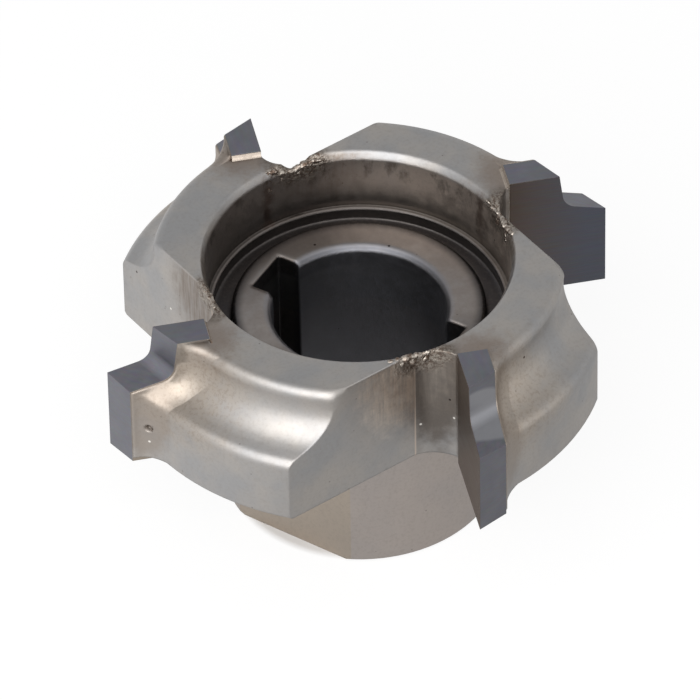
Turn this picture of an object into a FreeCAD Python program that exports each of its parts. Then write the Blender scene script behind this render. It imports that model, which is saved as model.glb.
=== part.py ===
import FreeCAD
import Part
import math
import os
from FreeCAD import Vector

# Brazed edge banding cutter head, millimetres, +Z up along the bore.
# The origin is on the bore axis in the plane of the hub's underside.
# Tooth 1 looks along +X. The others follow every quarter turn.

# Bore and keyways
bore_dia = 20.0
bore_edge_break = 0.6
bore_foot_chamfer = 0.5
key_width = 6.0
key_reach = 12.4
key_angle = 137.6
key_count = 2

# Hub with two spanner flats
hub_dia = 31.8
hub_height = 17.0
hub_chamfer = 0.3
spanner_width = 28.0
spanner_angle = 45.0

# Flange that carries the teeth
flange_thick = 15.57
flange_edge_break = 0.3
lip_drop = 7.2
lip_round = 1.4
shoulder_slope = 22.0
shoulder_width = 4.5
cove_round = 4.8
ring_lean = 7.0
ring_edge_round = 1.0

# Recess for the clamping screw and washer
recess_dia = 34.6
recess_depth = 7.8
recess_mouth_widen = 0.55
recess_mouth_drop = 0.94
seat_dia = 28.9
seat_edge_break = 0.25
groove_dia = 33.4
groove_depth = 1.6

# Teeth
tooth_count = 4
cut_dia = 62.4
rake_offset = 7.15
tip_thick = 3.45
tip_length = 11.17
tip_reach = 3.2
crown_setback = 5.37
tip_rise = 0.58
tip_overhang = 0.55
tip_flank_lean = 7.0
tip_shoulder_slope = 15.0
tip_shoulder_drop = 5.85
tip_radius = 2.0
crown_back_relief = 2.1
rim_back_relief = 1.9
shoulder_back_drop = 0.38

# Braze film between tip and seat
braze_gap = 0.12

# Hollow blend that backs each tip and runs out into the flange
blend_rise = 2.4
blend_run = 2.6
blend_ramp = 1.0
blend_inset = 0.08
blend_sink = 0.06
blend_steps = 6
ring_shrink = 0.3
lip_shrink = 0.42

# Gullet in front of each tip
gullet_distance = 16.93
gullet_angle = 24.4
gullet_end = 2.65
pocket_bulge = 5.0
pocket_floor = 17.5
pocket_land = 0.3

# The pocket of one tooth was ground deeper than the others
deep_tooth = 2
deep_extra = 0.5

# Blowhole in the braze run-out behind tooth 3
hole_tooth = 3
hole_dia = 0.95
hole_depth = 0.5
hole_setback = 0.93
hole_height = 21.7

# Levels that follow from the sizes above
top_z = hub_height + flange_thick
floor_z = top_z - recess_depth
crown_z = top_z + tip_rise
foot_z = hub_height - tip_overhang
rake_y = rake_offset
back_y = rake_y + tip_thick
seat_y = back_y + braze_gap
over = 2.0 * cut_dia

# Radii that follow the cutting circle: the flange, its ring and both ends of the tips
rim_r = cut_dia / 2 - tip_reach
ring_r = rim_r - shoulder_width
cut_x = math.sqrt((cut_dia / 2) ** 2 - rake_y ** 2)
tip_crown_end = cut_x - crown_setback
tip_inner_end = cut_x - tip_length
seat_x = tip_inner_end - braze_gap


def slope(degrees):
    return math.tan(math.radians(degrees))


def corner_tangents(a, b, c, radius):
    """Points where an arc of this radius leaves and joins the two lines at corner b."""
    u = (a - b).normalize()
    v = (c - b).normalize()
    half = math.acos(max(-1.0, min(1.0, u.dot(v)))) / 2
    run = radius / math.tan(half)
    middle = (u + v).normalize()
    centre = b + middle * (radius / math.sin(half))
    return b + u * run, centre - middle * radius, b + v * run


def outline(corners):
    """Closed wire through corners (point, radius); a radius of 0 leaves the corner sharp."""
    edges = []
    starts = []
    count = len(corners)
    for i in range(count):
        a = corners[i - 1][0]
        b, radius = corners[i]
        c = corners[(i + 1) % count][0]
        if radius > 0:
            first, mid, last = corner_tangents(a, b, c, radius)
            edges.append((i, Part.Arc(first, mid, last).toShape()))
            starts.append((first, last))
        else:
            starts.append((b, b))
    ordered = []
    arcs = dict(edges)
    for i in range(count):
        if i in arcs:
            ordered.append(arcs[i])
        here = starts[i][1]
        there = starts[(i + 1) % count][0]
        if (there - here).Length > 1e-6:
            ordered.append(Part.LineSegment(here, there).toShape())
    return Part.Wire(ordered)


def rz(r, z):
    return Vector(r, 0, z)


def turned(corners):
    face = Part.Face(outline(corners))
    return face.revolve(Vector(0, 0, 0), Vector(0, 0, 1), 360)


def about_axis(shape, degrees):
    return shape.rotated(Vector(0, 0, 0), Vector(0, 0, 1), degrees)


# The blank is turned in one piece: bore, recess, ring, cove, lip, flange and hub
lip_z = top_z - lip_drop
cove_x = (rim_r * slope(shoulder_slope) + ring_r * slope(90 - ring_lean) + lip_z - top_z)
cove_x = cove_x / (slope(90 - ring_lean) + slope(shoulder_slope))
cove_z = lip_z + (rim_r - cove_x) * slope(shoulder_slope)
bore_r = bore_dia / 2
hub_r = hub_dia / 2
seat_r = seat_dia / 2
groove_r = groove_dia / 2
recess_r = recess_dia / 2
groove_z = floor_z - groove_depth
mouth_z = top_z - recess_mouth_drop
blank = turned([
    (rz(bore_r + bore_foot_chamfer, 0), 0),
    (rz(hub_r - hub_chamfer, 0), 0),
    (rz(hub_r, hub_chamfer), 0),
    (rz(hub_r, hub_height), 0),
    (rz(rim_r - flange_edge_break, hub_height), 0),
    (rz(rim_r, hub_height + flange_edge_break), 0),
    (rz(rim_r, lip_z), lip_round),
    (rz(cove_x, cove_z), cove_round),
    (rz(ring_r, top_z), ring_edge_round),
    (rz(recess_r + recess_mouth_widen, top_z), 0),
    (rz(recess_r, mouth_z), 0),
    (rz(recess_r, floor_z), 0),
    (rz(groove_r, floor_z), 0),
    (rz(groove_r, groove_z), 0),
    (rz(seat_r, groove_z), 0),
    (rz(seat_r, floor_z - seat_edge_break), 0),
    (rz(seat_r - seat_edge_break, floor_z), 0),
    (rz(bore_r + bore_edge_break, floor_z), 0),
    (rz(bore_r, floor_z - bore_edge_break), 0),
    (rz(bore_r, bore_foot_chamfer), 0),
])

# Keyways through the full length of the bore
key = Part.makeBox(key_reach, key_width, over, Vector(0, -key_width / 2, -over / 2))
body = blank
for i in range(key_count):
    body = body.cut(about_axis(key, key_angle + i * 360 / key_count))

# Spanner flats on the hub, below the flange only
flat_start = Vector(spanner_width / 2, -over / 2, -over)
flat = Part.makeBox(over, over, over + hub_height, flat_start)
for i in range(2):
    body = body.cut(about_axis(flat, spanner_angle + i * 180))

# One gullet: a flat milled across the rim, a round pocket at its end and the rake plane
turn = math.radians(gullet_angle)
along = Vector(math.sin(turn), -math.cos(turn), 0)
end_x = (gullet_distance - gullet_end * math.sin(turn)) / math.cos(turn)
flat_end = Vector(end_x, gullet_end, 0)
far_point = flat_end + along * cut_dia / 2
rake_corner = Vector(seat_x - pocket_land, rake_y, 0)


def gullet(pocket_x):
    wire = Part.Wire([
        Part.LineSegment(far_point, flat_end).toShape(),
        Part.Arc(flat_end, Vector(pocket_x, pocket_bulge, 0), rake_corner).toShape(),
        Part.LineSegment(rake_corner, Vector(over / 2, rake_y, 0)).toShape(),
        Part.LineSegment(Vector(over / 2, rake_y, 0), Vector(over / 2, far_point.y, 0)).toShape(),
        Part.LineSegment(Vector(over / 2, far_point.y, 0), far_point).toShape(),
    ])
    face = Part.Face(wire)
    face.translate(Vector(0, 0, hub_height))
    return face.extrude(Vector(0, 0, over))


# Seat for one tip: its back wall and inner wall stand one braze film off the carbide
seat = Part.makeBox(over, tip_thick + braze_gap, 2 * over, Vector(seat_x, rake_y, -over))
for i in range(tooth_count):
    pocket_x = pocket_floor - (deep_extra if i + 1 == deep_tooth else 0)
    body = body.cut(about_axis(gullet(pocket_x), i * 360 / tooth_count))
    body = body.cut(about_axis(seat, i * 360 / tooth_count))


def cove_corner(top, low, lean, fall):
    """Where a flank leaning out from the top corner meets a shoulder rising in from the low corner."""
    # x = top.x + (top.z - z) * lean and z = low.z + (low.x - x) * fall
    x = (top.x + (top.z - low.z - low.x * fall) * lean) / (1 - lean * fall)
    return Vector(x, top.y, low.z + (low.x - x) * fall)


# One tip: the rake face carries the full profile and the back face is smaller by the relief
shoulder_z = crown_z - tip_shoulder_drop


def tip_corners(y, crown_less, rim_less, drop, inset):
    """Crown, cove and rim corners of the carbide in the plane y, drawn in by an even inset."""
    crown = Vector(tip_crown_end - crown_less - inset, y, crown_z - inset)
    rim = Vector(cut_x - rim_less - inset, y, shoulder_z - drop - inset)
    cove = cove_corner(crown, rim, slope(tip_flank_lean), slope(tip_shoulder_slope))
    return crown, cove, rim


def tip_outline(y, crown_less, rim_less, drop):
    crown, cove, rim = tip_corners(y, crown_less, rim_less, drop, 0)
    return outline([
        (Vector(tip_inner_end, y, crown_z), 0),
        (crown, 0),
        (cove, tip_radius),
        (rim, 0),
        (Vector(rim.x, y, foot_z), 0),
        (Vector(tip_inner_end, y, foot_z), 0),
    ])


rake_face = tip_outline(rake_y, 0, 0, 0)
back_face = tip_outline(back_y, crown_back_relief, rim_back_relief, shoulder_back_drop)
tip = Part.makeLoft([rake_face, back_face], True, True)

# The blend starts on the seat wall just inside the tip's outline and sinks into the flange
back_tip = tip_corners(back_y, crown_back_relief, rim_back_relief, shoulder_back_drop, blend_inset)
back_crown, back_cove, back_rim = back_tip


def flange_point(r, y, z):
    return Vector(math.sqrt(r * r - y * y), y, z)


def blend_section(y, share, sink):
    """Outline in the plane y: share is 1 on the tip's back outline and 0 just below the flange."""
    ring_in = ring_shrink * (1 - share) + sink
    lip_in = lip_shrink * (1 - share) + sink
    rows = [
        (ring_r, top_z, ring_in, back_crown, 0, 0),
        (cove_x, cove_z, sink, back_cove, cove_round, tip_radius),
        (rim_r, lip_z, lip_in, back_rim, 0, 0),
    ]
    corners = []
    for r, z, inward, tip_corner, round_low, round_high in rows:
        here = flange_point(r - inward, y, z - inward)
        step = tip_corner - flange_point(r, seat_y, z)
        step.y = 0
        corners.append((here + step * share, round_low + (round_high - round_low) * share))
    rise = (back_crown.z - top_z) * share - sink
    foot = hub_height + blend_sink
    inner = flange_point(math.hypot(seat_x, seat_y), y, 0).x
    return outline([
        (Vector(inner, y, foot), 0),
        (Vector(inner, y, top_z - braze_gap), 0),
        (Vector(inner + blend_ramp, y, top_z + rise), 0),
    ] + corners + [
        (Vector(corners[-1][0].x, y, foot), 0),
    ])


reach = back_rim.x - flange_point(rim_r, seat_y, 0).x
first_share = blend_rise / reach
sections = []
for i in range(blend_steps):
    part = i / (blend_steps - 1)
    phi = math.radians(90 * part)
    share = first_share * (1 - math.sin(phi))
    depth = seat_y + blend_run * (1 - math.cos(phi))
    sections.append(blend_section(depth, share, blend_sink * part))
blend = Part.makeLoft(sections, True, False)
for i in range(tooth_count):
    body = body.fuse(about_axis(blend, i * 360 / tooth_count))
body = body.removeSplitter()

# The braze fills the gap behind the tip and at its inner end
film = Part.Face(blend_section(seat_y, first_share, blend_sink)).extrude(Vector(0, -braze_gap, 0))
film_top = top_z - blend_sink
end_size = (braze_gap, tip_thick - blend_inset, film_top - hub_height - blend_sink)
end_film = Part.makeBox(*end_size, Vector(seat_x, rake_y + blend_inset, hub_height + blend_sink))
braze = film.fuse(end_film).removeSplitter()

# Blowhole left by the brazing in the blend behind one tip, drilled square to the hollow round
hole_phi = math.asin(1 - hole_setback / blend_rise)
hole_y = seat_y + blend_run * (1 - math.cos(hole_phi))
hole_x = flange_point(rim_r, hole_y, 0).x + reach * first_share * (1 - math.sin(hole_phi))
hole_axis = Vector(blend_run * math.sin(hole_phi), blend_rise * math.cos(hole_phi), 0)
hole_axis = hole_axis.normalize()
hole_base = Vector(hole_x, hole_y, hole_height) - hole_axis * hole_depth
hole = Part.makeCylinder(hole_dia / 2, blend_run, hole_base, hole_axis)
body = body.cut(about_axis(hole, (hole_tooth - 1) * 360 / tooth_count))

os.makedirs("parts", exist_ok=True)
body.exportStep("parts/steel_body.step")
for i in range(tooth_count):
    about_axis(tip, i * 360 / tooth_count).exportStep("parts/carbide_tip_%d.step" % (i + 1))
    about_axis(braze, i * 360 / tooth_count).exportStep("parts/braze_joint_%d.step" % (i + 1))
print("steel body %.1f mm3, %d solids, valid %s" % (body.Volume, len(body.Solids), body.isValid()))
print("one tip %.1f mm3, one braze film %.2f mm3" % (tip.Volume, braze.Volume))
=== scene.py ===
# %% [markdown]
# Edge banding cutter head
#
# The head is a small steel disc with four carbide teeth, about 62 mm across.
# The frame holds its exact solids. This lesson gives them their finish, adds
# the solder that ran out when the teeth were brazed in, and lights the part.

# %% Load the frame
import math
import random

import bmesh
import bpy
from mathutils import Matrix, Vector, noise


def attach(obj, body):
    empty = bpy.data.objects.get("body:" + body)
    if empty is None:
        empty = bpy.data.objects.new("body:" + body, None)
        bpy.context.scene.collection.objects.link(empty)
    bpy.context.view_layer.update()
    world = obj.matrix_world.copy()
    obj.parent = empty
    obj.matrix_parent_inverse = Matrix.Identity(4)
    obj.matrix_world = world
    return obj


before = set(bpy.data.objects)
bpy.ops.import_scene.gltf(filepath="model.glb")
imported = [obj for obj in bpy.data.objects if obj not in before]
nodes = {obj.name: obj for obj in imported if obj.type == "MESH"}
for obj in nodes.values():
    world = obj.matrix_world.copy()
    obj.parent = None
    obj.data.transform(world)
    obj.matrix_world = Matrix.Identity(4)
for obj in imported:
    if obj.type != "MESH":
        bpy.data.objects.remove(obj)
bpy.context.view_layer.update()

MM = 0.001
print("nodes:", sorted(nodes))

# %% [markdown]
# The camera looks at the head from far away through a long lens, so the rings
# are almost true ellipses. A camera can be aimed by eye, or with a constraint
# on an empty. Here its angles and its distance were worked out from the rings
# and the corners of the teeth, so they are written as plain numbers.

# %% Camera
camera_height = math.radians(42.519)
camera_turn = math.radians(-11.43)
camera_roll = math.radians(-1.12)
camera_distance = 1.10529
aim_right = 0.001366
aim_up = -0.013279
spin_about_z = Matrix.Rotation(camera_turn, 3, "Z")
right = Vector((1, 0, 0))
up = Vector((0, math.sin(camera_height), math.cos(camera_height)))
back = Vector((0, -math.cos(camera_height), math.sin(camera_height)))
rolled_right = math.cos(camera_roll) * right + math.sin(camera_roll) * up
rolled_up = -math.sin(camera_roll) * right + math.cos(camera_roll) * up
place = -aim_right * rolled_right - aim_up * rolled_up + camera_distance * back
axes = Matrix((rolled_right, rolled_up, back)).transposed()
picture_pixels = 700
focal_pixels = 9611.54
sensor_mm = 36.0
camera_data = bpy.data.cameras.new("camera")
camera_data.sensor_width = sensor_mm
camera_data.lens = sensor_mm * focal_pixels / picture_pixels
camera_data.clip_start = 0.05
camera_data.clip_end = 20.0
camera = bpy.data.objects.new("camera", camera_data)
bpy.context.scene.collection.objects.link(camera)
camera.matrix_world = (spin_about_z @ axes).to_4x4()
camera.location = spin_about_z @ place
bpy.context.scene.camera = camera
print("camera at", [round(v, 3) for v in camera.location], "lens", round(camera_data.lens, 1))

# %% [markdown]
# Colours are written as the hex values a paint program shows. One function
# turns them into the linear numbers that a shader works with. One other adds
# a node together with its settings and its links, and a node that is given as
# a value stands for its first output that is in use.

# %% Helpers for materials
def colour(code):
    parts = [int(code[i:i + 2], 16) / 255 for i in (1, 3, 5)]
    linear = [v / 12.92 if v <= 0.04045 else ((v + 0.055) / 1.055) ** 2.4 for v in parts]
    return (*linear, 1.0)


def add(tree, kind, inputs=None, **settings):
    node = tree.nodes.new(kind)
    for name, value in settings.items():
        setattr(node, name, value)
    for name, value in (inputs or {}).items():
        if isinstance(value, bpy.types.Node):
            value = next(output for output in value.outputs if output.enabled)
        if isinstance(value, bpy.types.NodeSocket):
            tree.links.new(value, node.inputs[name])
        else:
            node.inputs[name].default_value = value
    return node


def new_material(name):
    material = bpy.data.materials.new(name)
    material.use_nodes = True
    material.node_tree.nodes.clear()
    return material, material.node_tree


# %% [markdown]
# A finished piece sits at the origin, unturned and unscaled, and its place is
# in its mesh, just as with the solids of the frame. So a pattern that reads
# Object coordinates runs on from a solid to the pieces on it. One function
# makes such a piece from a bmesh, and one gives solids their material.

# %% Helpers for pieces
def finished_piece(shape, name, material):
    mesh = bpy.data.meshes.new(name)
    shape.to_mesh(mesh)
    shape.free()
    mesh.materials.append(material)
    piece = bpy.data.objects.new(name, mesh)
    bpy.context.scene.collection.objects.link(piece)
    return piece


def dress(names, material):
    for name in names:
        nodes[name].data.materials.clear()
        nodes[name].data.materials.append(material)


# %% [markdown]
# Heat, stains and grinding marks keep the same place on every tooth. So the
# patterns read coordinates that start again at each tooth: how far a point
# lies out along the tooth, how far behind it, and how high, in millimetres.
# The angle about the bore is wrapped into one quarter turn for that, which
# starts at QUARTER_START degrees. A few heights and radii of the solids have
# names, in mm, because many masks follow them.

# %% Coordinates of one tooth
TOP = 32.57
RECESS_FLOOR = 24.77
FLANGE_FOOT = 17.0
RECESS_RADIUS = 17.3
LEDGE_RADIUS = 16.7
BORE_RADIUS = 10.0
HUB_FLAT = 14.0
RAKE = 7.15
TIP_BACK = 10.6
POCKET_CORNER = (17.39, 2.65)
QUARTER_START = -28.4


def at_tooth(number, out, behind, up):
    return Matrix.Rotation(math.radians(90 * (number - 1)), 3, "Z") @ Vector((out, behind, up)) * MM


def tooth_coordinates(tree):
    spot = add(tree, "ShaderNodeTexCoord")
    in_mm = add(
        tree, "ShaderNodeVectorMath", {0: spot.outputs["Object"], "Scale": 1 / MM},
        operation="SCALE"
    )
    axis = add(tree, "ShaderNodeSeparateXYZ", {0: in_mm})
    turn = add(
        tree, "ShaderNodeMath", {0: axis.outputs["Y"], 1: axis.outputs["X"]}, operation="ARCTAN2"
    )
    wrap_to = {0: turn, 1: math.radians(QUARTER_START + 90), 2: math.radians(QUARTER_START)}
    turn = add(tree, "ShaderNodeMath", wrap_to, operation="WRAP")
    flat = add(tree, "ShaderNodeVectorMath", {0: in_mm, 1: (1, 1, 0)}, operation="MULTIPLY")
    radius = add(tree, "ShaderNodeVectorMath", {0: flat}, operation="LENGTH")
    cosine = add(tree, "ShaderNodeMath", {0: turn}, operation="COSINE")
    sine = add(tree, "ShaderNodeMath", {0: turn}, operation="SINE")
    out = add(tree, "ShaderNodeMath", {0: radius, 1: cosine}, operation="MULTIPLY")
    behind = add(tree, "ShaderNodeMath", {0: radius, 1: sine}, operation="MULTIPLY")
    tooth = add(tree, "ShaderNodeCombineXYZ", {"X": out, "Y": behind, "Z": axis.outputs["Z"]})
    return {
        "mm": in_mm, "tooth": tooth, "out": out, "behind": behind, "up": axis.outputs["Z"],
        "radius": radius
    }


# %% [markdown]
# Heat leaves stains with a soft and ragged edge. They could be painted on a
# picture and laid over the mesh, but each has a known place on the tooth in
# mm. So one function gives the share of a soft spot round such a place, whose
# edge wanders with the 1.3 mm noise. Another lays a colour over the ones
# below it by a share.

# %% Helpers for stains
def near(tree, at, centre, squash, start, full, wander):
    """A soft spot round a point of the tooth, in mm: 1 within full and 0 beyond start."""
    offset = add(tree, "ShaderNodeVectorMath", {0: at["tooth"], 1: centre}, operation="SUBTRACT")
    squashed = add(tree, "ShaderNodeVectorMath", {0: offset, 1: squash}, operation="MULTIPLY")
    away = add(tree, "ShaderNodeVectorMath", {0: squashed}, operation="LENGTH")
    ragged = add(
        tree, "ShaderNodeMath", {0: at["patch"], 1: wander, 2: away}, operation="MULTIPLY_ADD"
    )
    reach = {"Value": ragged, "From Min": start + wander / 2, "From Max": full + wander / 2}
    return add(tree, "ShaderNodeMapRange", reach, interpolation_type="SMOOTHSTEP")


def tint(tree, share, under, code, strength=1.0):
    if strength < 1:
        share = add(tree, "ShaderNodeMath", {0: share, 1: strength}, operation="MULTIPLY")
    layers = {"Factor": share, "A": under, "B": colour(code)}
    return add(tree, "ShaderNodeMix", layers, data_type="RGBA")


# %% [markdown]
# The body is tool steel, turned and milled, blasted with fine grit and then
# plated with nickel. That gives the eye a warm grey satin: wide soft
# highlights, no tool marks, and a faint mottle. A picture of steel laid over
# the mesh would show seams, so three noises make the mottle: clouds of 6 mm,
# patches of 1.3 mm and flecks of 0.4 mm. The next cells use them as well.

# %% Blasted nickel steel
blasted_steel, tree = new_material("blasted_nickel_steel")
at = tooth_coordinates(tree)
cloud = add(
    tree, "ShaderNodeTexNoise",
    {"Vector": at["mm"], "Scale": 0.16, "Detail": 3.0, "Roughness": 0.55}
)
at["patch"] = add(
    tree, "ShaderNodeTexNoise", {"Vector": at["mm"], "Scale": 0.75, "Detail": 4.0, "Roughness": 0.6}
)
fleck = add(
    tree, "ShaderNodeTexNoise", {"Vector": at["mm"], "Scale": 2.6, "Detail": 3.0, "Roughness": 0.7}
)
cloudy = add(tree, "ShaderNodeMapRange", {"Value": cloud, "From Min": 0.38, "From Max": 0.62})
plain = add(
    tree, "ShaderNodeMix", {"Factor": cloudy, "A": colour("#a9a8a8"), "B": colour("#b5b0ab")},
    data_type="RGBA"
)
print(len(tree.nodes), "nodes so far")

# %% [markdown]
# The torch that brazed the teeth left straw and brown oxide on the plating,
# strongest round each seat. The straw lies on the blend behind the tooth and
# in the hollow, and is gone 12 mm further on. The brown is on the top of the
# ring beside the seat. Soft spots that overlap leave no line between two
# oxides, as a colour ramp by distance would.

# %% Straw and brown round the seats
straw = near(tree, at, (23.5, 11.0, 29.0), (1.0, 0.66, 1.1), 10.5, 2.0, 6.0)
body = tint(tree, straw, plain, "#b3a595", 0.75)
# Brown heat tint behind the tooth, made darker as painted shade that dims the highlight there
back_burn_and_shade = near(tree, at, (27.5, 11.3, 25.0), (0.8, 1.0, 0.42), 3.8, 2.4, 1.5)
body = tint(tree, back_burn_and_shade, body, "#9d9186", 0.6)
mottled = add(tree, "ShaderNodeMapRange", {"Value": fleck, "From Min": 0.5, "From Max": 0.62})
mottled = add(tree, "ShaderNodeMath", {0: mottled, 1: straw}, operation="MULTIPLY")
body = tint(tree, mottled, body, "#8d7e72", 0.3)
beside = near(tree, at, (18.6, 9.6, 32.6), (1.0, 0.8, 1.0), 4.2, 0.8, 3.0)
body = tint(tree, beside, body, "#85766c", 0.6)
print(len(tree.nodes), "nodes so far")

# %% [markdown]
# The round pocket in front of a tooth is brown as well, and its corner is
# painted darkest, as painted shade. The milled flat before it has a brown end,
# drawn out in upright streaks; on tooth 4 that end is painted light instead,
# as a painted reflection. The streaks are a noise that a Mapping node
# stretches upwards. The recess wall lies only a tenth of a millimetre behind
# the pocket, and a spot reaches through it. The wall faces the bore, so its
# normal tells the two apart.

# %% Round pocket
past_corner = add(
    tree, "ShaderNodeMapRange", {"Value": at["behind"], "From Min": 2.5, "From Max": 2.75}
)
facing = add(tree, "ShaderNodeNewGeometry").outputs["True Normal"]
facing = add(tree, "ShaderNodeVectorMath", {0: facing, 1: at["mm"]}, operation="DOT_PRODUCT")
off_wall = add(tree, "ShaderNodeMapRange", {"Value": facing, "From Min": -12.0, "From Max": -9.0})
in_pocket = add(tree, "ShaderNodeMath", {0: past_corner, 1: off_wall}, operation="MULTIPLY")
pocket = near(tree, at, (18.2, 5.0, 27.3), (1.0, 1.0, 0.3), 3.6, 2.0, 1.5)
pocket = add(tree, "ShaderNodeMath", {0: pocket, 1: in_pocket}, operation="MULTIPLY")
body = tint(tree, pocket, body, "#686059", 0.85)
print(len(tree.nodes), "nodes so far")

# %% End of the flat
upright = add(tree, "ShaderNodeMapping", {"Vector": at["mm"], "Scale": (2.4, 2.4, 0.22)})
streak = add(
    tree, "ShaderNodeTexNoise", {"Vector": upright, "Scale": 1.0, "Detail": 3.0, "Roughness": 0.65}
)
streaky = add(
    tree, "ShaderNodeMapRange",
    {"Value": streak, "From Min": 0.35, "From Max": 0.62, "To Min": 0.45}
)
flat_end = near(tree, at, (18.4, 0.8, 30.2), (0.9, 0.62, 0.5), 4.8, 1.6, 3.0)
flat_burn_and_light = add(tree, "ShaderNodeMath", {0: flat_end, 1: streaky}, operation="MULTIPLY")
below_top = add(
    tree, "ShaderNodeMapRange", {"Value": at["up"], "From Min": TOP - 0.07, "From Max": TOP - 0.37}
)
flat_burn_and_light = add(tree, "ShaderNodeMath", {0: flat_burn_and_light, 1: below_top}, operation="MULTIPLY")
out_of_pocket = add(tree, "ShaderNodeMapRange", {"Value": in_pocket, "To Min": 1.0, "To Max": 0.3})
flat_burn_and_light = add(tree, "ShaderNodeMath", {0: flat_burn_and_light, 1: out_of_pocket}, operation="MULTIPLY")
# On tooth 4 the end of the flat is painted light, as a painted reflection
axes_mm = add(tree, "ShaderNodeSeparateXYZ", {0: at["mm"]})
flat_4_lit = add(
    tree, "ShaderNodeMapRange", {"Value": axes_mm.outputs["Y"], "From Min": -8.0, "From Max": -12.0}
)
burn_and_light_tone = add(
    tree, "ShaderNodeMix", {"Factor": flat_4_lit, "A": colour("#847970"), "B": colour("#eaddcf")},
    data_type="RGBA"
)
body = add(
    tree, "ShaderNodeMix", {"Factor": flat_burn_and_light, "A": body, "B": burn_and_light_tone}, data_type="RGBA"
)
# The corner of the pocket is painted darkest, as painted shade
pocket_corner_shade = near(tree, at, (18.0, 2.9, 26.5), (0.3, 1.0, 0.16), 2.0, 0.5, 0.6)
pocket_corner_shade = add(tree, "ShaderNodeMath", {0: pocket_corner_shade, 1: in_pocket}, operation="MULTIPLY")
body = tint(tree, pocket_corner_shade, body, "#38302c", 0.5)
print(len(tree.nodes), "nodes so far")

# %% [markdown]
# The hub under the flange is painted lighter, as painted light where the
# flange shades it. The hub was turned, and its two spanner flats were milled.
# They took the plating a little yellower. The distance from the plane between
# the two flats is one dot product, and its absolute value serves both.

# %% Hub and spanner flats
below_flange = {"From Min": FLANGE_FOOT, "From Max": FLANGE_FOOT - 0.05}
on_hub = add(tree, "ShaderNodeMapRange", {"Value": at["up"], **below_flange})
# Painted light on the hub, which the flange shades
body = tint(tree, on_hub, body, "#bfb4ad", 0.7)
across_flats = add(
    tree, "ShaderNodeVectorMath", {0: at["mm"], 1: (0.7071, 0.7071, 0)}, operation="DOT_PRODUCT"
)
across_flats = add(tree, "ShaderNodeMath", {0: across_flats}, operation="ABSOLUTE")
on_flat = add(
    tree, "ShaderNodeMapRange",
    {"Value": across_flats, "From Min": HUB_FLAT - 0.03, "From Max": HUB_FLAT - 0.01}
)
on_flat = add(tree, "ShaderNodeMath", {0: on_flat, 1: on_hub}, operation="MULTIPLY")
body = tint(tree, on_flat, body, "#b8a993", 0.45)
print(len(tree.nodes), "nodes so far")

# %% [markdown]
# The flame left a brown film inside the recess, where the grit didn't reach.
# On the wall at the right its tone is painted lighter, as painted light. The
# groove outside the seat is painted darker still, as painted shade. These
# masks follow the turned shape, so apart from the painted light on the wall
# they need no more than the radius and the height, and no painted picture.

# %% Brown film in the recess
inside = add(
    tree, "ShaderNodeMapRange",
    {"Value": at["radius"], "From Min": RECESS_RADIUS + 0.2, "From Max": RECESS_RADIUS + 0.04},
    interpolation_type="SMOOTHSTEP"
)
sunk = add(
    tree, "ShaderNodeMapRange", {"Value": at["up"], "From Min": 32.0, "From Max": 31.3},
    interpolation_type="SMOOTHSTEP"
)
inner = add(tree, "ShaderNodeMath", {0: inside, 1: sunk}, operation="MULTIPLY")
above_hub = add(tree, "ShaderNodeMapRange", {"Value": at["up"], "From Min": 22.0, "From Max": 22.5})
inner = add(tree, "ShaderNodeMath", {0: inner, 1: above_hub}, operation="MULTIPLY")
filmy = add(
    tree, "ShaderNodeMapRange",
    {"Value": at["patch"], "From Min": 0.3, "From Max": 0.7, "To Min": 0.55, "To Max": 0.85}
)
film = add(tree, "ShaderNodeMath", {0: inner, 1: filmy}, operation="MULTIPLY")
# Painted light: the film on the wall is lighter towards the right
wall_lit_right = add(
    tree, "ShaderNodeMapRange", {"Value": axes_mm.outputs["X"], "From Min": -2.0, "From Max": 12.0}
)
on_wall = add(
    tree, "ShaderNodeMapRange", {"Value": at["radius"], "From Min": 16.9, "From Max": 17.1}
)
wall_lit_right = add(tree, "ShaderNodeMath", {0: wall_lit_right, 1: on_wall}, operation="MULTIPLY")
film_and_light_tone = add(
    tree, "ShaderNodeMix", {"Factor": wall_lit_right, "A": colour("#948b86"), "B": colour("#dccfc3")},
    data_type="RGBA"
)
body = add(tree, "ShaderNodeMix", {"Factor": film, "A": body, "B": film_and_light_tone}, data_type="RGBA")
print(len(tree.nodes), "nodes so far")

# %% Painted shade in the groove
low = add(
    tree, "ShaderNodeMapRange",
    {"Value": at["up"], "From Min": RECESS_FLOOR + 0.23, "From Max": RECESS_FLOOR + 0.03}
)
past_seat = add(
    tree, "ShaderNodeMapRange", {"Value": at["radius"], "From Min": 12.9, "From Max": 14.2},
    interpolation_type="SMOOTHSTEP"
)
to_ledge = add(
    tree, "ShaderNodeMapRange",
    {"Value": at["radius"], "From Min": LEDGE_RADIUS + 0.15, "From Max": LEDGE_RADIUS - 0.1}
)
groove_shade = low
for other in (past_seat, to_ledge, inner):
    groove_shade = add(tree, "ShaderNodeMath", {0: groove_shade, 1: other}, operation="MULTIPLY")
# Painted shade darkens the groove between seat and ledge
body = tint(tree, groove_shade, body, "#454549", 0.87)
print(len(tree.nodes), "nodes so far")

# %% [markdown]
# Painted shade darkens the foot of the wall and the rim of the seat, and
# the seat at its two ends and at the front. Smears of soot hang from the
# mouth of the recess. An ambient occlusion node could find corners by itself,
# but it would darken all of them alike, so each has its own mask.

# %% Painted shade and soot smears in the recess
wall_foot_shade = add(
    tree, "ShaderNodeMapRange", {"Value": at["radius"], "From Min": 16.88, "From Max": 17.02}
)
just_above = add(
    tree, "ShaderNodeMapRange", {"Value": at["up"], "From Min": 26.6, "From Max": 24.9}
)
for other in (just_above, inner):
    wall_foot_shade = add(tree, "ShaderNodeMath", {0: wall_foot_shade, 1: other}, operation="MULTIPLY")
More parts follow.
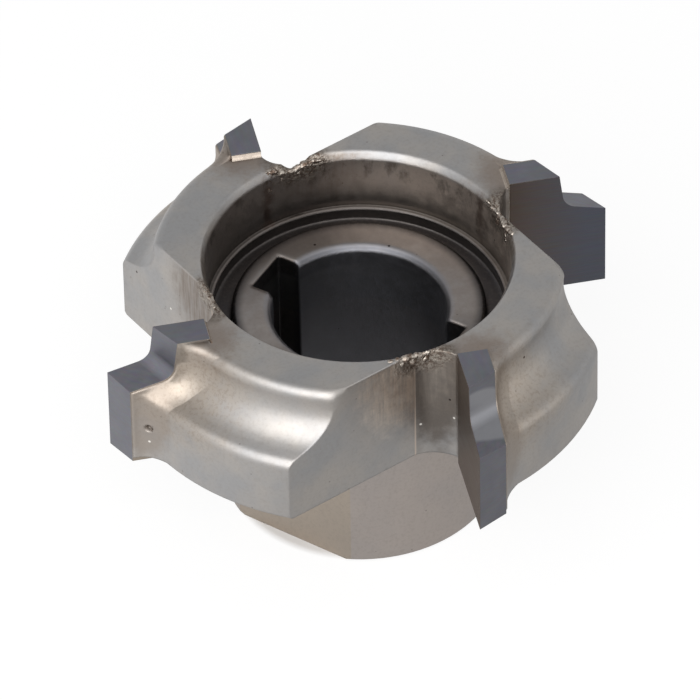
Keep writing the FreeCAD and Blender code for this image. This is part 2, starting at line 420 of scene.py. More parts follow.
# Painted shade at the foot of the wall
body = tint(tree, wall_foot_shade, body, "#2f2c2a", 0.7)
seat_rim_shade = add(
    tree, "ShaderNodeMapRange", {"Value": at["radius"], "From Min": 13.9, "From Max": 14.15},
    interpolation_type="SMOOTHSTEP"
)
past_rim = add(
    tree, "ShaderNodeMapRange", {"Value": at["radius"], "From Min": 14.7, "From Max": 14.5}
)
for other in (past_rim, inner):
    seat_rim_shade = add(tree, "ShaderNodeMath", {0: seat_rim_shade, 1: other}, operation="MULTIPLY")
# Painted shade on the rim of the seat
body = tint(tree, seat_rim_shade, body, "#161618", 0.9)
# The seat is painted darker at its two ends and in front of the bore, as painted shade
across = axes_mm.outputs["Y"]
to_ends = add(tree, "ShaderNodeMath", {0: across}, operation="ABSOLUTE")
for place, start, full, strength in ((to_ends, 3.0, 11.0, 0.5), (across, -2.0, -9.0, 0.4)):
    seat = add(tree, "ShaderNodeMapRange", {"Value": place, "From Min": start, "From Max": full})
    for other in (low, inner):
        seat = add(tree, "ShaderNodeMath", {0: seat, 1: other}, operation="MULTIPLY")
    body = tint(tree, seat, body, "#4f4944", strength)
smear_map = add(tree, "ShaderNodeMapping", {"Vector": at["mm"], "Scale": (0.55, 0.55, 0.3)})
smear = add(
    tree, "ShaderNodeTexNoise",
    {"Vector": smear_map, "Scale": 1.0, "Detail": 5.0, "Roughness": 0.65}
)
smeared = add(tree, "ShaderNodeMapRange", {"Value": smear, "From Min": 0.5, "From Max": 0.62})
upper_wall = add(
    tree, "ShaderNodeMapRange", {"Value": at["up"], "From Min": 27.0, "From Max": 30.5}
)
for other in (upper_wall, inner):
    smeared = add(tree, "ShaderNodeMath", {0: smeared, 1: other}, operation="MULTIPLY")
body = tint(tree, smeared, body, "#4a413b", 0.55)
print(len(tree.nodes), "nodes so far")

# %% [markdown]
# The bore was ground after the plating, which left it bluer and darker. The
# keyways were broached, and they are painted darker still, as painted shade in
# the slots. Their faces could be picked by hand and given a material of their
# own, but a mask by radius and height has soft borders and leaves the mesh
# alone. One rusty run of flux goes down the wall of the recess.

# %% Bore, keyways and a run of flux
in_bore = add(
    tree, "ShaderNodeMapRange",
    {"Value": at["radius"], "From Min": BORE_RADIUS + 1.0, "From Max": BORE_RADIUS + 0.3}
)
body = tint(tree, in_bore, body, "#898b92", 0.8)
keyway_shade = add(
    tree, "ShaderNodeMapRange",
    {"Value": at["radius"], "From Min": BORE_RADIUS + 0.1, "From Max": BORE_RADIUS + 0.3}
)
key_limits = [(at["radius"], 12.95, 12.85), (at["up"], 24.6, 24.3), (at["up"], 0.4, 0.8)]
for place, start, full in key_limits:
    within = add(tree, "ShaderNodeMapRange", {"Value": place, "From Min": start, "From Max": full})
    keyway_shade = add(tree, "ShaderNodeMath", {0: keyway_shade, 1: within}, operation="MULTIPLY")
# Painted shade in the keyways
body = tint(tree, keyway_shade, body, "#3c3c40", 0.75)
run = near(tree, at, (15.75, 7.2, 28.5), (1.0, 1.0, 0.22), 1.1, 0.1, 2.2)
body = tint(tree, run, body, "#5d453a", 0.65)
print(len(tree.nodes), "nodes so far")

# %% [markdown]
# Solder and flux crusted over on the edge between pocket and recess. The
# whole body has a thin dust of soot, thicker in some places than in others,
# and tiny pits that hold dirt. The pits are the cells of a Voronoi texture,
# kept only close round their centres. The real ones are 0.1 mm wide, which
# is too fine for this picture, so they are drawn at 0.2 mm.

# %% Crust, dust and pits
crust = near(tree, at, (17.3, 3.2, 32.2), (0.9, 0.6, 0.8), 2.8, 1.3, 2.2)
scaly = add(tree, "ShaderNodeMapRange", {"Value": fleck, "From Min": 0.4, "From Max": 0.6})
crusty = add(
    tree, "ShaderNodeMix", {"Factor": scaly, "A": colour("#6b5d53"), "B": colour("#aaa298")},
    data_type="RGBA"
)
body = add(tree, "ShaderNodeMix", {"Factor": crust, "A": body, "B": crusty}, data_type="RGBA")
dusty = add(tree, "ShaderNodeMapRange", {"Value": fleck, "From Min": 0.48, "From Max": 0.68})
body = tint(tree, dusty, body, "#8a8078", 0.18)
pit_map = add(tree, "ShaderNodeTexVoronoi", {"Vector": at["mm"], "Scale": 0.42, "Randomness": 1.0})
pit = add(tree, "ShaderNodeMapRange", {"Value": pit_map, "From Min": 0.055, "From Max": 0.03})
body = tint(tree, pit, body, "#5a5048", 0.45)
print(len(tree.nodes), "nodes so far")

# %% [markdown]
# A painted highlight runs as a bright line along the corner between flat and
# pocket, and a few single specks of grit and dirt lie on the head. Each speck
# has its own place, so a list holds the tooth, the place on it and the colour,
# and a loop tints them one by one.

# %% Painted corner highlight and single specks
corner = add(tree, "ShaderNodeVectorMath", {0: at["tooth"], 1: (1, 1, 0)}, operation="MULTIPLY")
corner = add(
    tree, "ShaderNodeVectorMath", {0: corner, 1: (*POCKET_CORNER, 0)}, operation="DISTANCE"
)
corner_highlight = add(tree, "ShaderNodeMapRange", {"Value": corner, "From Min": 0.13, "From Max": 0.06})
below_crust = add(
    tree, "ShaderNodeMapRange", {"Value": at["up"], "From Min": 30.3, "From Max": 29.6}
)
corner_highlight = add(tree, "ShaderNodeMath", {0: corner_highlight, 1: below_crust}, operation="MULTIPLY")
# Painted highlight along the corner between flat and pocket
body = tint(tree, corner_highlight, body, "#dccbbc", 0.7)
bright, dirt = "#fbf7ef", "#2d2623"
specks = [
    (3, 20.8, -4.8, 24.4, bright), (4, 18.5, 6.9, 22.8, bright), (4, 17.3, 3.3, 21.5, bright),
    (4, 18.2, 6.5, 25.4, dirt), (3, 23.5, -10.8, 25.3, "#3a2f2a"), (4, 17.8, 15.1, 29.7, "#4a3b33"),
    (1, 5.5, 9.2, 24.8, dirt), (1, -2.7, 11.3, 24.8, dirt), (3, 26.6, 11.3, 19.7, bright),
]
for number, out, behind, up, code in specks:
    spot = at_tooth(number, out, behind, up) / MM
    away = add(tree, "ShaderNodeVectorMath", {0: at["mm"], 1: spot}, operation="DISTANCE")
    speck = add(tree, "ShaderNodeMapRange", {"Value": away, "From Min": 0.19, "From Max": 0.1})
    body = tint(tree, speck, body, code)
# The blowhole behind tooth 3 is painted dark inside, as painted shade
hole = at_tooth(3, 26.3, 11.0, 21.7) / MM
hole_shade = add(tree, "ShaderNodeVectorMath", {0: at["mm"], 1: hole}, operation="DISTANCE")
hole_shade = add(tree, "ShaderNodeMapRange", {"Value": hole_shade, "From Min": 0.46, "From Max": 0.3})
body = tint(tree, hole_shade, body, "#41362e", 0.85)
print(len(tree.nodes), "nodes so far")

# %% [markdown]
# The surface comes after the colours. Blasting grit of 0.1 mm is too fine for
# a picture this size, so its dents are drawn at 0.3 mm. The crust is far
# lumpier, and the edge round the mouth of the recess a little. All of it is
# too shallow to change an outline, so a bump does and the mesh stays as it is.

# %% Grit and lumps
grit = add(
    tree, "ShaderNodeTexNoise", {"Vector": at["mm"], "Scale": 3.4, "Detail": 2.0, "Roughness": 0.6}
)
rough = add(
    tree, "ShaderNodeMapRange",
    {"Value": at["patch"], "From Min": 0.3, "From Max": 0.7, "To Min": 0.36, "To Max": 0.46}
)
in_mouth = add(
    tree, "ShaderNodeMapRange", {"Value": at["radius"], "From Min": 17.95, "From Max": 17.8}
)
over_wall = add(
    tree, "ShaderNodeMapRange",
    {"Value": at["up"], "From Min": 31.5, "From Max": 31.7, "To Max": 0.12}
)
uneven = add(tree, "ShaderNodeMath", {0: in_mouth, 1: over_wall}, operation="MULTIPLY")
uneven = add(tree, "ShaderNodeMath", {0: uneven, 1: crust}, operation="MAXIMUM")
lumps = add(tree, "ShaderNodeMath", {0: uneven, 1: fleck}, operation="MULTIPLY")
height = add(tree, "ShaderNodeMath", {0: lumps, 1: 25.0, 2: grit}, operation="MULTIPLY_ADD")
height = add(tree, "ShaderNodeMath", {0: pit, 1: -1.5, 2: height}, operation="MULTIPLY_ADD")
print(len(tree.nodes), "nodes so far")

# %% [markdown]
# The edges of the solids are sharp, and the real ones were rounded by the
# grit. They could be bevelled in the mesh, but a solid's mesh is left alone,
# so a Bevel node rounds what the light sees: 0.35 mm in general, up to 0.9 mm
# where a blend runs out, in the recess and round its mouth, and 1.5 mm along
# the edge of the ring. On the thin wall between recess and pocket it is off,
# because it would find the pocket's surface behind the wall.

# %% Where edges are rounder
blend_foot = near(tree, at, (24.8, 13.2, 25.6), (1.0, 1.0, 0.6), 3.6, 1.8, 0.0)
low_inside = add(
    tree, "ShaderNodeMapRange", {"Value": at["up"], "From Min": 25.6, "From Max": 25.2}
)
low_inside = add(tree, "ShaderNodeMath", {0: low_inside, 1: inner}, operation="MULTIPLY")
off_ledge = add(
    tree, "ShaderNodeMapRange",
    {"Value": at["radius"], "From Min": 16.0, "From Max": 16.5, "To Min": 1.0, "To Max": 0.55}
)
low_inside = add(tree, "ShaderNodeMath", {0: low_inside, 1: off_ledge}, operation="MULTIPLY")
softer = add(tree, "ShaderNodeMath", {0: blend_foot, 1: low_inside}, operation="MAXIMUM")
ring_edge = add(
    tree, "ShaderNodeMapRange", {"Value": at["radius"], "From Min": 21.9, "From Max": 22.4}
)
ring_high = add(tree, "ShaderNodeMapRange", {"Value": at["up"], "From Min": 29.6, "From Max": 30.6})
ring_edge = add(tree, "ShaderNodeMath", {0: ring_edge, 1: ring_high}, operation="MULTIPLY")
mouth = add(
    tree, "ShaderNodeMapRange",
    {"Value": at["radius"], "From Min": 18.6, "From Max": 18.3, "To Max": 0.8}
)
mouth_high = add(
    tree, "ShaderNodeMapRange", {"Value": at["up"], "From Min": 31.2, "From Max": 31.5}
)
mouth = add(tree, "ShaderNodeMath", {0: mouth, 1: mouth_high}, operation="MULTIPLY")
softer = add(tree, "ShaderNodeMath", {0: softer, 1: mouth}, operation="MAXIMUM")
print(len(tree.nodes), "nodes so far")

# %% Rounded edges and shader
rounding = add(
    tree, "ShaderNodeMapRange", {"Value": softer, "To Min": 0.35 * MM, "To Max": 0.9 * MM}
)
ring_rounding = add(tree, "ShaderNodeMath", {0: ring_edge, 1: 1.5 * MM}, operation="MULTIPLY")
rounding = add(tree, "ShaderNodeMath", {0: rounding, 1: ring_rounding}, operation="MAXIMUM")
thin_wall = add(
    tree, "ShaderNodeMapRange",
    {"Value": at["radius"], "From Min": RECESS_RADIUS - 0.1, "From Max": RECESS_RADIUS - 0.02}
)
below_mouth = add(
    tree, "ShaderNodeMapRange",
    {"Value": at["up"], "From Min": 31.6, "From Max": 31.2, "To Max": 0.95}
)
for other in (below_mouth, inner):
    thin_wall = add(tree, "ShaderNodeMath", {0: thin_wall, 1: other}, operation="MULTIPLY")
thin_wall = add(tree, "ShaderNodeMath", {0: 1.0, 1: thin_wall}, operation="SUBTRACT")
rounding = add(tree, "ShaderNodeMath", {0: rounding, 1: thin_wall}, operation="MULTIPLY")
soft_edge = add(tree, "ShaderNodeBevel", {"Radius": rounding}, samples=8)
bump = add(
    tree, "ShaderNodeBump",
    {"Height": height, "Strength": 1.0, "Distance": 0.007 * MM, "Normal": soft_edge}
)
shader = add(
    tree, "ShaderNodeBsdfPrincipled",
    {"Base Color": body, "Metallic": 1.0, "Roughness": rough, "Normal": bump}
)
add(tree, "ShaderNodeOutputMaterial", {"Surface": shader})
dress(["steel_body"], blasted_steel)
print("blasted nickel steel:", len(tree.nodes), "nodes")

# %% [markdown]
# The tips are cemented carbide. Their edges are ground with a diamond wheel,
# which leaves a dark blue grey with faint parallel scratches. Single lines
# would be finer than a pixel, so one stretched noise stands for them. The
# flat rake face in front is browner, and the back face was blasted and plated
# together with the body, so it has the body's warm grey.

# %% Ground carbide
carbide, tree = new_material("ground_carbide")
at = tooth_coordinates(tree)
cloud = add(
    tree, "ShaderNodeTexNoise", {"Vector": at["mm"], "Scale": 0.35, "Detail": 3.0, "Roughness": 0.6}
)
stretched = add(
    tree, "ShaderNodeMapping",
    {"Vector": at["tooth"], "Rotation": (0, math.radians(32), 0), "Scale": (0.25, 1.0, 6.0)}
)
scratch = add(
    tree, "ShaderNodeTexNoise", {"Vector": stretched, "Scale": 1.0, "Detail": 3.0, "Roughness": 0.7}
)
flank = add(
    tree, "ShaderNodeMix", {"Factor": cloud, "A": colour("#707077"), "B": colour("#838389")},
    data_type="RGBA"
)
rake_tint = add(
    tree, "ShaderNodeMapRange", {"Value": at["out"], "From Min": 19.0, "From Max": 28.0}
)
rake = add(
    tree, "ShaderNodeMix", {"Factor": rake_tint, "A": colour("#665a53"), "B": colour("#5e6069")},
    data_type="RGBA"
)
# The rake face of tooth 4 is painted lighter, as painted light, with less of the brown on it
rake_4_lit = add(tree, "ShaderNodeSeparateXYZ", {0: at["mm"]})
rake_4_lit = add(
    tree, "ShaderNodeMapRange",
    {"Value": rake_4_lit.outputs["Y"], "From Min": -15.0, "From Max": -18.0}
)
rake = add(
    tree, "ShaderNodeMix", {"Factor": rake_4_lit, "A": rake, "B": colour("#776c65")}, data_type="RGBA"
)
in_front = add(
    tree, "ShaderNodeMapRange",
    {"Value": at["behind"], "From Min": RAKE + 0.05, "From Max": RAKE + 0.02}
)
ground = add(tree, "ShaderNodeMix", {"Factor": in_front, "A": flank, "B": rake}, data_type="RGBA")
scratched = add(
    tree, "ShaderNodeMix",
    {"Factor": 0.25, "A": ground, "B": scratch.outputs["Color"]},
    data_type="RGBA", blend_type="SOFT_LIGHT"
)
print(len(tree.nodes), "nodes so far")

# %% [markdown]
# Tooth 4 was honed by hand in its hollow, which left it lighter there. The
# plating on the back face starts at an edge, so its mask is only a hundredth
# of a millimetre wide. The edges of carbide stay sharp and are rounded by
# less than a tenth.

# %% Honed hollow, plated back and shader
honed = add(
    tree, "ShaderNodeVectorMath", {0: at["mm"], 1: at_tooth(4, 25.6, 9.0, 29.3) / MM},
    operation="SUBTRACT"
)
honed = add(tree, "ShaderNodeVectorMath", {0: honed, 1: (0.3, 1.0, 1.0)}, operation="MULTIPLY")
honed = add(tree, "ShaderNodeVectorMath", {0: honed}, operation="LENGTH")
honed = add(tree, "ShaderNodeMapRange", {"Value": honed, "From Min": 3.1, "From Max": 2.7})
in_flank = add(
    tree, "ShaderNodeMapRange", {"Value": at["behind"], "From Min": RAKE, "From Max": RAKE + 0.15}
)
honed = add(tree, "ShaderNodeMath", {0: honed, 1: in_flank}, operation="MULTIPLY")
scratched = add(
    tree, "ShaderNodeMix",
    {"Factor": honed, "A": scratched, "B": colour("#9a9a9e")}, data_type="RGBA"
)
at_back = add(
    tree, "ShaderNodeMapRange",
    {"Value": at["behind"], "From Min": TIP_BACK - 0.015, "From Max": TIP_BACK - 0.005}
)
plated = add(
    tree, "ShaderNodeMix",
    {"Factor": at_back, "A": scratched, "B": colour("#a69a8d")}, data_type="RGBA"
)
rough = add(
    tree, "ShaderNodeMapRange",
    {"Value": scratch, "From Min": 0.3, "From Max": 0.7, "To Min": 0.3, "To Max": 0.42}
)
soft_edge = add(tree, "ShaderNodeBevel", {"Radius": 0.08 * MM}, samples=4)
bump = add(
    tree, "ShaderNodeBump",
    {"Height": scratch, "Strength": 0.15, "Distance": 0.01 * MM, "Normal": soft_edge}
)
shader = add(
    tree, "ShaderNodeBsdfPrincipled",
    {"Base Color": plated, "Metallic": 1.0, "Roughness": rough, "Normal": bump}
)
add(tree, "ShaderNodeOutputMaterial", {"Surface": shader})
dress(["carbide_tip_%d" % number for number in range(1, 5)], carbide)
print("ground carbide:", len(tree.nodes), "nodes")

# %% [markdown]
# The teeth are held by silver solder. It flowed when it was melted, so it is
# smoother and brighter than the blasted steel, and its flux left brown skin
# in patches. One noise does both: where it is high the solder is brown and
# rough. The narrow seams that were plated over take a plain grey instead.

# %% Silver solder
solder, tree = new_material("silver_solder")
at = tooth_coordinates(tree)
skin = add(
    tree, "ShaderNodeTexNoise", {"Vector": at["mm"], "Scale": 1.6, "Detail": 4.0, "Roughness": 0.65}
)
stained = add(
    tree, "ShaderNodeMapRange", {"Value": skin, "From Min": 0.42, "From Max": 0.62},
    interpolation_type="SMOOTHSTEP"
)
metal = add(
    tree, "ShaderNodeMix", {"Factor": stained, "A": colour("#b4aba1"), "B": colour("#6f5f54")},
    data_type="RGBA"
)
# The seams at the back and the inner end of a tip were blasted and plated over with the body
seam = add(
    tree, "ShaderNodeMapRange",
    {"Value": at["behind"], "From Min": TIP_BACK - 0.2, "From Max": TIP_BACK - 0.05}
)
inner_end = add(
    tree, "ShaderNodeMapRange", {"Value": at["out"], "From Min": 18.4, "From Max": 18.5}
)
square_to = add(
    tree, "ShaderNodeMapRange", {"Value": at["behind"], "From Min": 6.9, "From Max": 7.1}
)
inner_end = add(tree, "ShaderNodeMath", {0: inner_end, 1: square_to}, operation="MULTIPLY")
seam = add(tree, "ShaderNodeMath", {0: seam, 1: inner_end}, operation="MAXIMUM")
metal = add(
    tree, "ShaderNodeMix", {"Factor": seam, "A": metal, "B": colour("#b0a498")}, data_type="RGBA"
)
rough = add(
    tree, "ShaderNodeMapRange",
    {"Value": skin, "From Min": 0.35, "From Max": 0.65, "To Min": 0.18, "To Max": 0.5}
)
shader = add(
    tree, "ShaderNodeBsdfPrincipled", {"Base Color": metal, "Metallic": 1.0, "Roughness": rough}
)
add(tree, "ShaderNodeOutputMaterial", {"Surface": shader})
dress(["braze_joint_%d" % number for number in range(1, 5)], solder)
print("silver solder:", len(tree.nodes), "nodes")

# %% [markdown]
# Solder that ran out froze as lumps along the thin rim between each pocket
# and the recess, with drips down the recess wall. A lump is a string of
# flattened balls. A voxel remesh melts them into one skin, and noise then
# makes the skin uneven, as solder full of flux is. Metaballs would melt too,
# but they swell where many lie close together.

# %% A solder run
VOXEL = 0.085
LUMPY = 0.16
BALL_SPACING = 0.2
chance = random.Random(7)


def solder_run(number, path, drops):
    """In mm, path: (out, behind, up, radius) and drops: (out, behind, up, width, height)."""
    name = "solder_run_%d" % number
    shape = bmesh.new()

    def ball(spot, across, along, high):
        verts = bmesh.ops.create_icosphere(shape, subdivisions=2, radius=MM)["verts"]
        bmesh.ops.scale(shape, vec=(across, along, high), verts=verts)
        bmesh.ops.rotate(
            shape, matrix=Matrix.Rotation(chance.uniform(-0.7, 0.7), 3, "X"), verts=verts
        )
        bmesh.ops.rotate(
            shape, matrix=Matrix.Rotation(math.atan2(spot.y, spot.x), 3, "Z"), verts=verts
        )
        bmesh.ops.translate(shape, vec=spot, verts=verts)

    for start, end in zip(path, path[1:]):
        gap = (Vector(end[:3]) - Vector(start[:3])).length
        steps = max(1, round(gap / BALL_SPACING))
        for i in range(steps):
            share = (i + chance.random()) / steps
            out, behind, up, radius = (a + (b - a) * share for a, b in zip(start, end))
            radius *= chance.uniform(0.7, 1.2)
            out, up = out + chance.uniform(-0.1, 0.1), up + chance.uniform(-0.1, 0.1)
            spot = at_tooth(number, out, behind, up)
            ball(spot, radius * 0.8, radius * 1.2, radius * 0.8)
    for out, behind, up, width, high in drops:
        ball(at_tooth(number, out, behind, up), width * 0.7, width, high)
    rough_mesh = bpy.data.meshes.new(name + "_balls")
    shape.to_mesh(rough_mesh)
    shape.free()
    balls = bpy.data.objects.new(name + "_balls", rough_mesh)
    bpy.context.scene.collection.objects.link(balls)
    melt = balls.modifiers.new("melt", "REMESH")
    melt.mode = "VOXEL"
    melt.voxel_size = VOXEL * MM
    evaluated = balls.evaluated_get(bpy.context.evaluated_depsgraph_get())
    melted = bpy.data.meshes.new_from_object(evaluated)
    bpy.data.objects.remove(balls)
    shape = bmesh.new()
    shape.from_mesh(melted)
    bmesh.ops.smooth_vert(
        shape, verts=shape.verts, factor=0.5, use_axis_x=True, use_axis_y=True, use_axis_z=True
    )
    shape.normal_update()
    for vert in shape.verts:
        spot = vert.co / MM
        push = noise.noise(spot * 1.5) + 0.9 * (0.35 - abs(noise.noise(spot * 3.1)))
        vert.co += vert.normal * push * LUMPY * MM
    for face in shape.faces:
        face.smooth = True
    piece = finished_piece(shape, name, solder)
    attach(piece, "root")
    print(name, len(piece.data.polygons), "faces")


# %% Four solder runs
solder_run(1, [
    (16.3, 6.3, 32.05, 0.2), (16.7, 5.2, 31.95, 0.32), (17.0, 4.0, 31.9, 0.4),
    (17.2, 2.8, 32.0, 0.42), (17.4, 1.6, 32.05, 0.5), (17.6, 0.8, 32.2, 0.5),
    (17.85, -0.2, 32.35, 0.28),
], [
    (17.0, 3.6, 31.0, 0.4, 0.6), (17.05, 4.5, 29.6, 0.28, 1.2), (16.95, 4.3, 28.0, 0.22, 1.1),
    (17.1, 3.6, 26.7, 0.16, 0.7), (17.4, 1.0, 30.8, 0.3, 0.9), (17.45, -0.3, 30.7, 0.2, 0.8),
])
solder_run(2, [
    (16.2, 7.2, 32.3, 0.22), (16.45, 6.3, 32.0, 0.36), (16.7, 5.3, 31.6, 0.36),
    (16.85, 4.5, 31.4, 0.3), (17.05, 3.6, 31.5, 0.36), (17.2, 2.7, 31.7, 0.5),
    (17.3, 1.8, 31.8, 0.42), (17.4, 0.8, 31.9, 0.25), (17.45, 0.0, 31.9, 0.18),
], [
    (16.15, 6.6, 30.9, 0.24, 0.8), (15.95, 6.95, 29.9, 0.2, 0.9), (17.0, 3.3, 30.9, 0.3, 0.4),
    (16.6, 5.4, 30.8, 0.25, 0.3),
])
solder_run(3, [
    (18.15, 0.9, 32.25, 0.2), (17.85, 1.7, 32.2, 0.3), (17.6, 2.5, 32.2, 0.36),
    (17.5, 3.3, 32.25, 0.34), (17.45, 4.3, 32.4, 0.26), (17.5, 5.0, 32.45, 0.16),
], [(17.45, 3.0, 31.2, 0.25, 0.6)])
solder_run(4, [
    (18.75, -2.2, 32.4, 0.14), (18.35, -1.0, 32.35, 0.22), (18.1, 0.1, 32.35, 0.28),
    (17.85, 1.2, 32.3, 0.34), (17.55, 2.2, 32.25, 0.42), (17.5, 3.1, 32.3, 0.36),
    (17.45, 4.2, 32.4, 0.22), (17.4, 5.2, 32.45, 0.14),
], [
    (17.55, 3.9, 31.6, 0.4, 0.4), (17.7, 2.4, 31.7, 0.45, 0.5), (17.95, 1.1, 31.8, 0.4, 0.4),
    (18.35, -0.4, 32.0, 0.3, 0.3),
])

# %% [markdown]
# Each tip stands a little above the ring. The solder filled the corner at its
# inner end with a small hollow fillet, which catches the light. Its profile
# is one face that is extruded along the tip. A bevel can't make it, because
# tip and ring are solids of the frame and stay as they are.

# %% Fillets at the inner ends
FILLET_LENGTH = 3.38
for number, width in ((1, 0.45), (2, 0.42), (3, 0.25), (4, 0.25)):
    shape = bmesh.new()
    profile = [(19.2, 32.5)]
    for i in range(6):
        turn = math.radians(90 * i / 5)
        profile.append((19.14 - width * math.cos(turn) ** 2, 32.56 + 0.52 * math.sin(turn) ** 3))
    profile.append((19.2, 33.08))
    ring = [shape.verts.new(at_tooth(number, out, RAKE + 0.05, up)) for out, up in profile]
    face = shape.faces.new(ring)
    pulled = bmesh.ops.extrude_face_region(shape, geom=[face])["geom"]
    moved = [v for v in pulled if isinstance(v, bmesh.types.BMVert)]
    bmesh.ops.translate(shape, vec=at_tooth(number, 0, FILLET_LENGTH, 0), verts=moved)
    bmesh.ops.recalc_face_normals(shape, faces=shape.faces)
    piece = finished_piece(shape, "solder_fillet_%d" % number, solder)
    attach(piece, "root")
print("four fillets,", len(piece.data.polygons), "faces each")

# %% [markdown]
# Behind each tip the steel and the solder were blasted and plated together,
# so no seam shows there. One hollow skin runs from the edge of the tip down to
# the flange, and its corners grow rounder on the way. It is a loft through
# outlines that start on the tip's own outline and end just under the flange.
# One of them has a blowhole, where gas left the solder.

# %% Outline of the blasted skin
FOOT = FLANGE_FOOT + 0.02
FOOT_RISE = 0.35
RING_RADIUS = 21.885
# Each row: radius and height on the flange, place and height on the tip, and
# the corner's radius at the tip and at the flange
skin_rows = [
    (23.5, TOP, 22.89, 33.14, 0.02, 1.0),
    (22.871, 27.443, 23.49, 28.242, 2.0, 4.8),
    (28.0, 25.37, 28.46, 26.91, 0.02, 1.4),
]


def line(a, b, count):
    return [a.lerp(b, i / count) for i in range(count)]


def rounded(a, b, c, radius, count):
    """Points of the arc that rounds corner b between a and c, and its two ends."""
    u, v = (a - b).normalized(), (c - b).normalized()
    half = u.angle(v) / 2
    run = radius / math.tan(half)
    centre = b + (u + v).normalized() * (radius / math.sin(half))
    first, last = (b + u * run - centre).normalized(), (b + v * run - centre).normalized()
    arc = [centre + first.slerp(last, i / count) * radius for i in range(count)]
    return arc, arc[0], centre + last * radius


def skin_outline(behind, share, sink):
    corners = []
    for radius, up, tip_out, tip_up, sharp, full in skin_rows:
        step = tip_out - math.sqrt(radius ** 2 - TIP_BACK ** 2)
        out = math.sqrt((radius - sink) ** 2 - behind ** 2) + step * share
        corner = Vector((out, up - sink + (tip_up - up) * share))
        corners.append((corner, sharp + (full - sharp) * (1 - share)))
    inner = math.sqrt(RING_RADIUS ** 2 - behind ** 2)
    ramp_top = corners[0][0].y
    ramp = []
    for i in range(9):
        rise = i / 8
        climb = (ramp_top - TOP + 0.14) * math.sin(math.pi / 2 * rise)
        ramp.append(Vector((inner + 0.4 * rise, TOP - 0.14 + climb)))
    low = FOOT + FOOT_RISE * (1 - share)
    foot = Vector((corners[2][0].x, low))
    ends = [ramp[-1]] + [corner for corner, radius in corners] + [foot]
    arcs = []
    for i, steps in enumerate((7, 18, 8)):
        arcs.append(rounded(ends[i], ends[i + 1], ends[i + 2], corners[i][1], steps))
    points = [Vector((inner, low))] + ramp[:-1]
    points += line(ramp[-1], arcs[0][1], 24) + arcs[0][0]
    points += line(arcs[0][2], arcs[1][1], 22) + arcs[1][0]
    points += line(arcs[1][2], arcs[2][1], 22) + arcs[2][0]
    return points + line(arcs[2][2], foot, 80) + [foot]


print("outline of the skin:", len(skin_outline(TIP_BACK, 1.0, 0.0)), "points")

# %% [markdown]
# Each step of the loft has a place behind the rake plane, the share of the
# tip's outline that is left in it, and how far it sinks under the flange. The
# blend is a quarter of an ellipse: it leaves the tip flat and meets the
# flange steeply. Faint noise makes it uneven, as work finished by hand is.
# The blowhole is a bowl pushed into the skin, with a small raised lip.

# %% Blasted skin behind the tips
BLEND_RUN = 2.75
skin_steps = [(10.602, 0.998, 0.0), (10.65, 0.992, 0.0), (10.71, 0.98, 0.0), (10.755, 0.955, 0.0)]
for i in range(1, 33):
    turn = math.radians(90 * i / 32)
    behind = 10.77 + BLEND_RUN * (1 - math.cos(turn))
    skin_steps.append((behind, 0.952 * (1 - math.sin(turn)), 0.06 * (i / 32) ** 3))
UNEVEN = 0.02
HOLE_RADIUS, HOLE_SLOPE, HOLE_DEPTH = 0.5, 0.16, 0.55
LIP_RADIUS, LIP_WIDTH, LIP_HEIGHT = 0.62, 0.24, 0.05
blowhole = Vector((26.564, 11.265, 21.7))
blowhole_axis = Vector((1.5925, 1.897, 0)).normalized()
for number in range(1, 5):
    shape = bmesh.new()
    rings = []
    for behind, share, sink in skin_steps:
        ring = []
        for out, up in skin_outline(behind, share, sink):
            spot = Vector((out, behind, up))
            if share < 0.95:
                uneven = noise.noise(spot * 1.3 + Vector((7 * number, 0, 0))) * UNEVEN
                spot += Vector((0.6, 0.6, 0.5)) * uneven * min(1.0, 4 * share)
            if number == 3:
                off_axis = spot - blowhole
                off_axis -= blowhole_axis * off_axis.dot(blowhole_axis)
                bowl = min(1.0, max(0.0, (HOLE_RADIUS - off_axis.length) / HOLE_SLOPE))
                bowl = bowl * bowl * (3 - 2 * bowl)
                lip = max(0.0, 1 - abs(off_axis.length - LIP_RADIUS) / LIP_WIDTH)
                if off_axis.length < 1 and out > 25:
                    spot += blowhole_axis * (LIP_HEIGHT * lip - HOLE_DEPTH * bowl)
            ring.append(shape.verts.new(at_tooth(number, *spot)))
        rings.append(ring)
    for ring, following in zip(rings, rings[1:]):
        for i in range(len(ring)):
            j = (i + 1) % len(ring)
            shape.faces.new((ring[i], ring[j], following[j], following[i])).smooth = True
    shape.faces.new(rings[0])
    shape.faces.new(rings[-1])
    bmesh.ops.recalc_face_normals(shape, faces=shape.faces)
    piece = finished_piece(shape, "blasted_skin_%d" % number, blasted_steel)
    piece.data.set_sharp_from_angle(angle=math.radians(40))
    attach(piece, "root")
print("four skins,", len(piece.data.polygons), "faces each")

# %% [markdown]
# The head lies on white paper in a bright tent. The paper shows pure white to
# the camera and still keeps a soft shadow. Lamps bright enough for that would
# wash out the head, so the paper glows instead, but only for the camera and
# in mirrored light. What the head mirrors of it is dimmer to the right, away
# from the soft box. Under the hub it doesn't glow, so the bore stays as dark
# as a real one.

